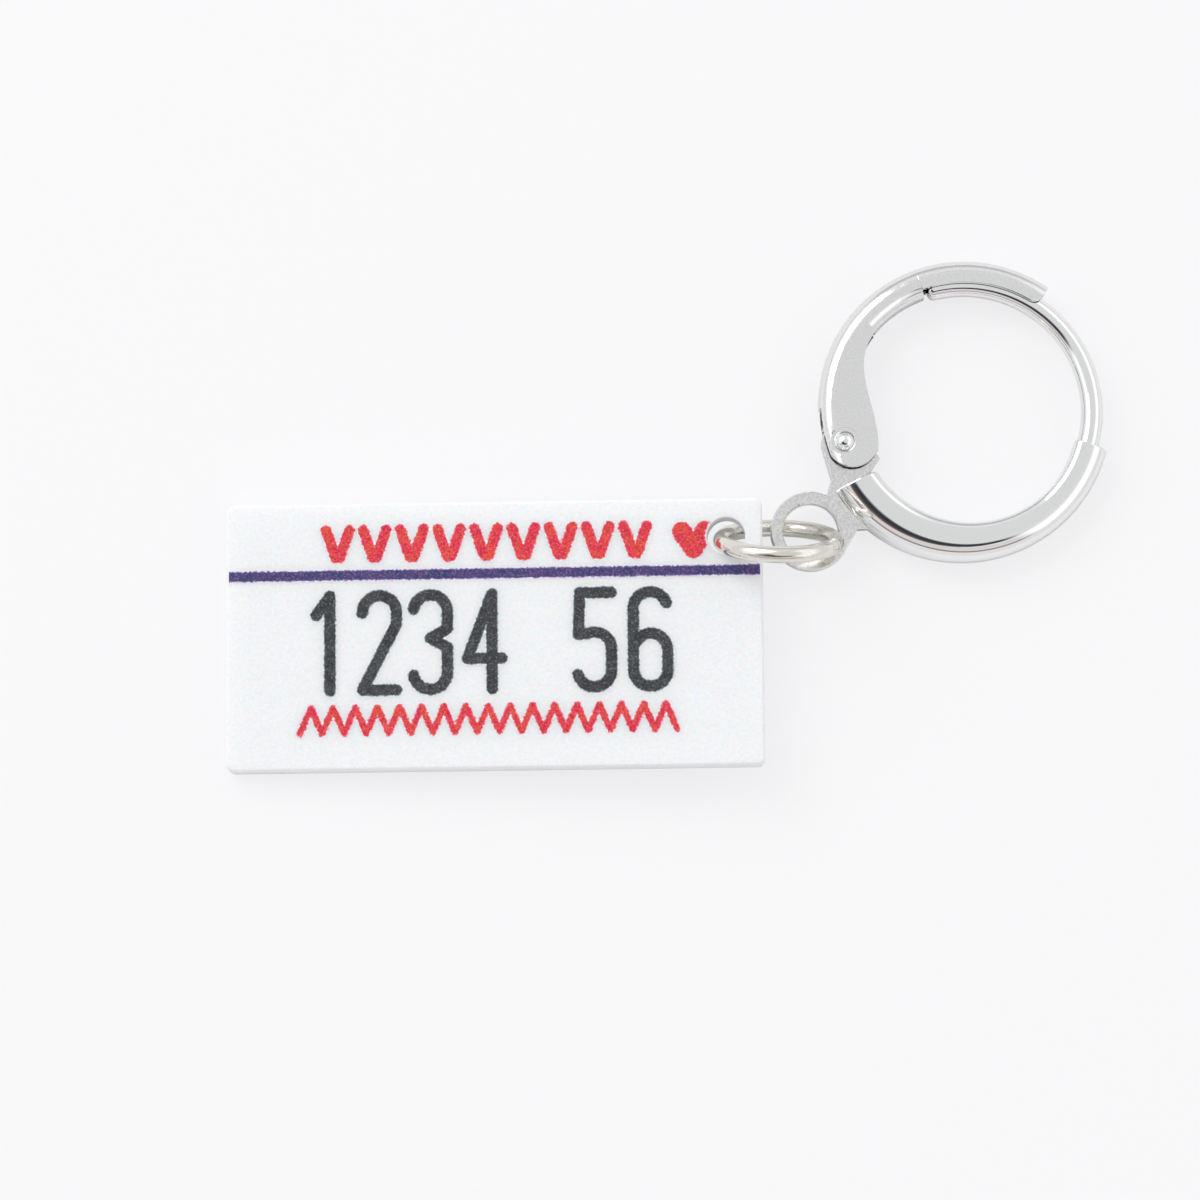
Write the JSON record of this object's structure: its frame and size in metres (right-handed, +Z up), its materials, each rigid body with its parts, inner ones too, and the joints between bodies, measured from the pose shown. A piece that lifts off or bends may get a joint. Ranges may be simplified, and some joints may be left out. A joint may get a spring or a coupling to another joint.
{
  "type": "stitch marker",
  "caption": "Flat plate charm hung by a corner hole on a round jump ring from a round hoop whose sprung lever opens, for marking a knitted stitch.",
  "frame": {"origin": "centre of the footprint of the whole part as it lies, on the surface that it lies on", "axes": "+X along the charm's length from its far end to the hoop, +Z up out of the flat-lying part"},
  "size_m": [0.042, 0.0246, 0.0058],
  "materials": {
    "charm_plastic": "satin",
    "ring_wire": "polished",
    "hoop_plating": "polished",
    "spring_steel": "satin"
  },
  "bodies": {
    "hoop": {"back_plate": "hoop_plating", "front_bow": "hoop_plating", "ear_wire": "hoop_plating", "rivet": "hoop_plating"},
    "lever": {"lever": "hoop_plating", "leaf_spring": "spring_steel"},
    "link": {"jump_ring": "ring_wire"},
    "charm": {"charm_plate": "charm_plastic"}
  },
  "joints": [
    {"name": "lever_hinge", "type": "hinge", "parent": "hoop", "child": "lever", "pos_m": [0.0084, 0.00347, 0.00125], "axis": [0, 0, 1], "range_deg": [0, 65]},
    {"name": "ring_swivel", "type": "hinge", "parent": "hoop", "child": "link", "pos_m": [0.00678, -0.00076, 0.00125], "axis": [0, 0, 1], "range_deg": [-42, 60]},
    {"name": "charm_swing", "type": "hinge", "parent": "link", "child": "charm", "pos_m": [0.00518, -0.00148, 0.00289], "axis": [0, 0.9239, 0.3827], "range_deg": [-20, 70]}
  ]
}
